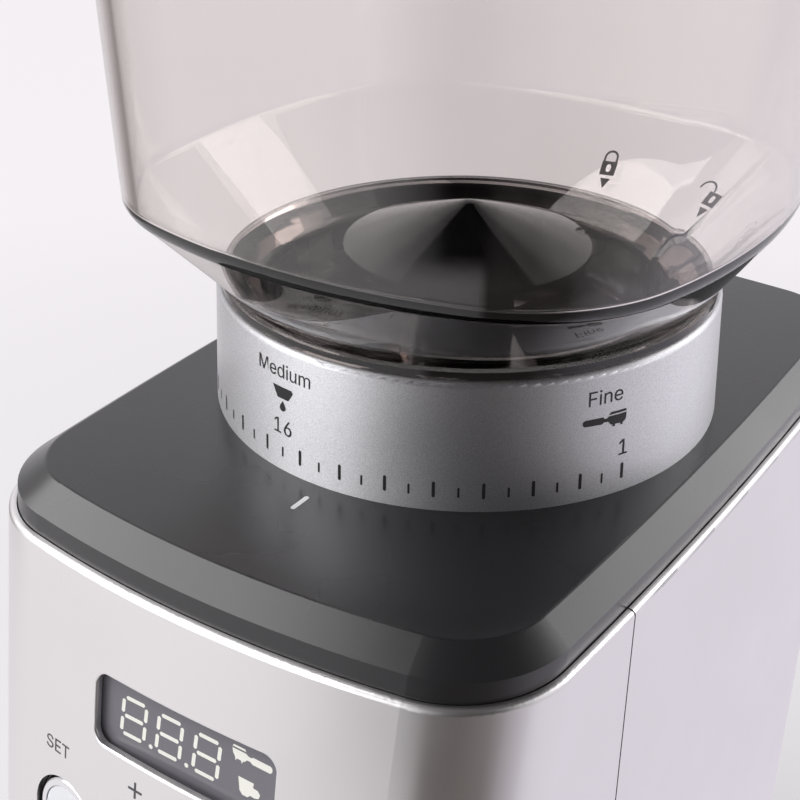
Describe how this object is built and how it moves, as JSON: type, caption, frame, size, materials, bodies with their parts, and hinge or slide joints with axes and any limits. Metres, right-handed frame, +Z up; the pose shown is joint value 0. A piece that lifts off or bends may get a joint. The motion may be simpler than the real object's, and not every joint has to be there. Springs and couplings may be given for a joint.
{
  "type": "electric burr coffee grinder",
  "caption": "Upright electric burr grinder with a clear square hopper, silver numbered setting collar, leaning steel front with display and push buttons, and a grounds container.",
  "frame": {"origin": "on the table, under the middle of the overall footprint", "axes": "+Z up, -Y towards the front with the display and buttons, +X to the user's right"},
  "size_m": [0.1356, 0.2128, 0.396],
  "materials": {
    "satin_steel": "satin, fine vertical grain",
    "black_plastic": "fine matte texture",
    "silver_paint": "silver metallic, fine sparkle",
    "smoky_clear": "clear, smoky grey",
    "gloss_black": "polished",
    "lens_dark": "dark tinted window",
    "bright_chrome": "plated",
    "cap_white": "bright white",
    "black_rubber": "matte",
    "burr_steel": "hardened, ground",
    "motor_metal": "zinc",
    "gear_plastic": "natural acetal",
    "pinion_brass": "machined",
    "board_green": "solder mask"
  },
  "bodies": {
    "body": {"base": "black_plastic", "bottom_cover": "black_plastic", "cover_screws": "burr_steel", "feet": "black_rubber", "front_panel": "satin_steel", "rear_shell": "satin_steel", "cord_gland": "black_rubber", "top_plate": "black_plastic", "main_frame": "black_plastic", "display_lens": "lens_dark", "display_module": "gloss_black", "control_board": "board_green", "button_guide": "black_plastic", "button_switches": "gloss_black", "hopper_seat": "black_plastic", "grind_chamber": "gear_plastic", "gear_case": "gear_plastic", "lower_bearing": "burr_steel", "upper_bearing": "burr_steel", "motor": "motor_metal", "motor_damper": "black_rubber", "chute": "black_plastic", "power_board": "board_green", "hopper_switch": "gloss_black"},
    "collar": {"adjust_collar": "silver_paint"},
    "carrier": {"burr_carrier": "black_plastic", "ring_burr": "burr_steel"},
    "burr": {"burr_shaft": "burr_steel", "drive_gear": "gear_plastic", "sweeper": "gear_plastic", "cone_burr": "burr_steel", "burr_nut": "burr_steel"},
    "rotor": {"motor_shaft": "burr_steel", "pinion": "pinion_brass"},
    "gate": {"bean_gate": "black_plastic", "gate_clip": "burr_steel"},
    "hopper": {"hopper": "smoky_clear", "guard_cone": "gloss_black"},
    "lid": {"hopper_lid": "black_plastic", "lid_seal": "black_rubber"},
    "container": {"grounds_container": "smoky_clear"},
    "container_lid": {"container_lid": "black_plastic"},
    "set_button": {"button_set": "bright_chrome", "cap_set": "cap_white"},
    "plus_button": {"button_plus": "bright_chrome", "cap_plus": "cap_white"},
    "minus_button": {"button_minus": "bright_chrome", "cap_minus": "cap_white"},
    "start_button": {"button_start": "bright_chrome", "cap_start": "cap_white"}
  },
  "joints": [
    {"name": "collar_turn", "type": "hinge", "parent": "body", "child": "collar", "pos_m": [0, 0.0071, 0.246], "axis": [0, 0, 1], "range_deg": [-65, 85]},
    {"name": "carrier_height", "type": "slide", "parent": "collar", "child": "carrier", "axis": [0, 0, 1], "range_m": [-0.00055, 0.0007]},
    {"name": "burr_spin", "type": "hinge", "parent": "body", "child": "burr", "pos_m": [0, 0.0071, 0.246], "axis": [0, 0, 1], "continuous": true},
    {"name": "rotor_spin", "type": "hinge", "parent": "body", "child": "rotor", "pos_m": [0, 0.04835, 0.19], "axis": [0, 0, 1], "continuous": true},
    {"name": "hopper_lift", "type": "slide", "parent": "body", "child": "gate", "axis": [0, 0, 1], "range_m": [0, 0.06]},
    {"name": "hopper_turn", "type": "hinge", "parent": "gate", "child": "hopper", "pos_m": [0, 0.0071, 0.246], "axis": [0, 0, 1], "range_deg": [-30, 0]},
    {"name": "lid_lift", "type": "slide", "parent": "hopper", "child": "lid", "axis": [0, 0, 1], "range_m": [0, 0.05]},
    {"name": "container_out", "type": "slide", "parent": "body", "child": "container", "axis": [0, -1, 0], "range_m": [0, 0.11]},
    {"name": "container_lid_lift", "type": "slide", "parent": "container", "child": "container_lid", "axis": [0, 0, 1], "range_m": [0, 0.014]},
    {"name": "set_press", "type": "slide", "parent": "body", "child": "set_button", "axis": [0.1149, 0.9765, -0.1822], "range_m": [0, 0.0012], "stiffness_N_per_m": 400},
    {"name": "plus_press", "type": "slide", "parent": "body", "child": "plus_button", "axis": [0.0383, 0.9825, -0.1822], "range_m": [0, 0.0012], "stiffness_N_per_m": 400},
    {"name": "minus_press", "type": "slide", "parent": "body", "child": "minus_button", "axis": [-0.0383, 0.9825, -0.1822], "range_m": [0, 0.0012], "stiffness_N_per_m": 400},
    {"name": "start_press", "type": "slide", "parent": "body", "child": "start_button", "axis": [-0.1149, 0.9765, -0.1822], "range_m": [0, 0.0012], "stiffness_N_per_m": 400}
  ],
  "couplings": [
    {"joint": "carrier_height", "follows": "collar_turn", "m_per_rad": 0.000458},
    {"joint": "rotor_spin", "follows": "burr_spin", "ratio": -4}
  ]
}
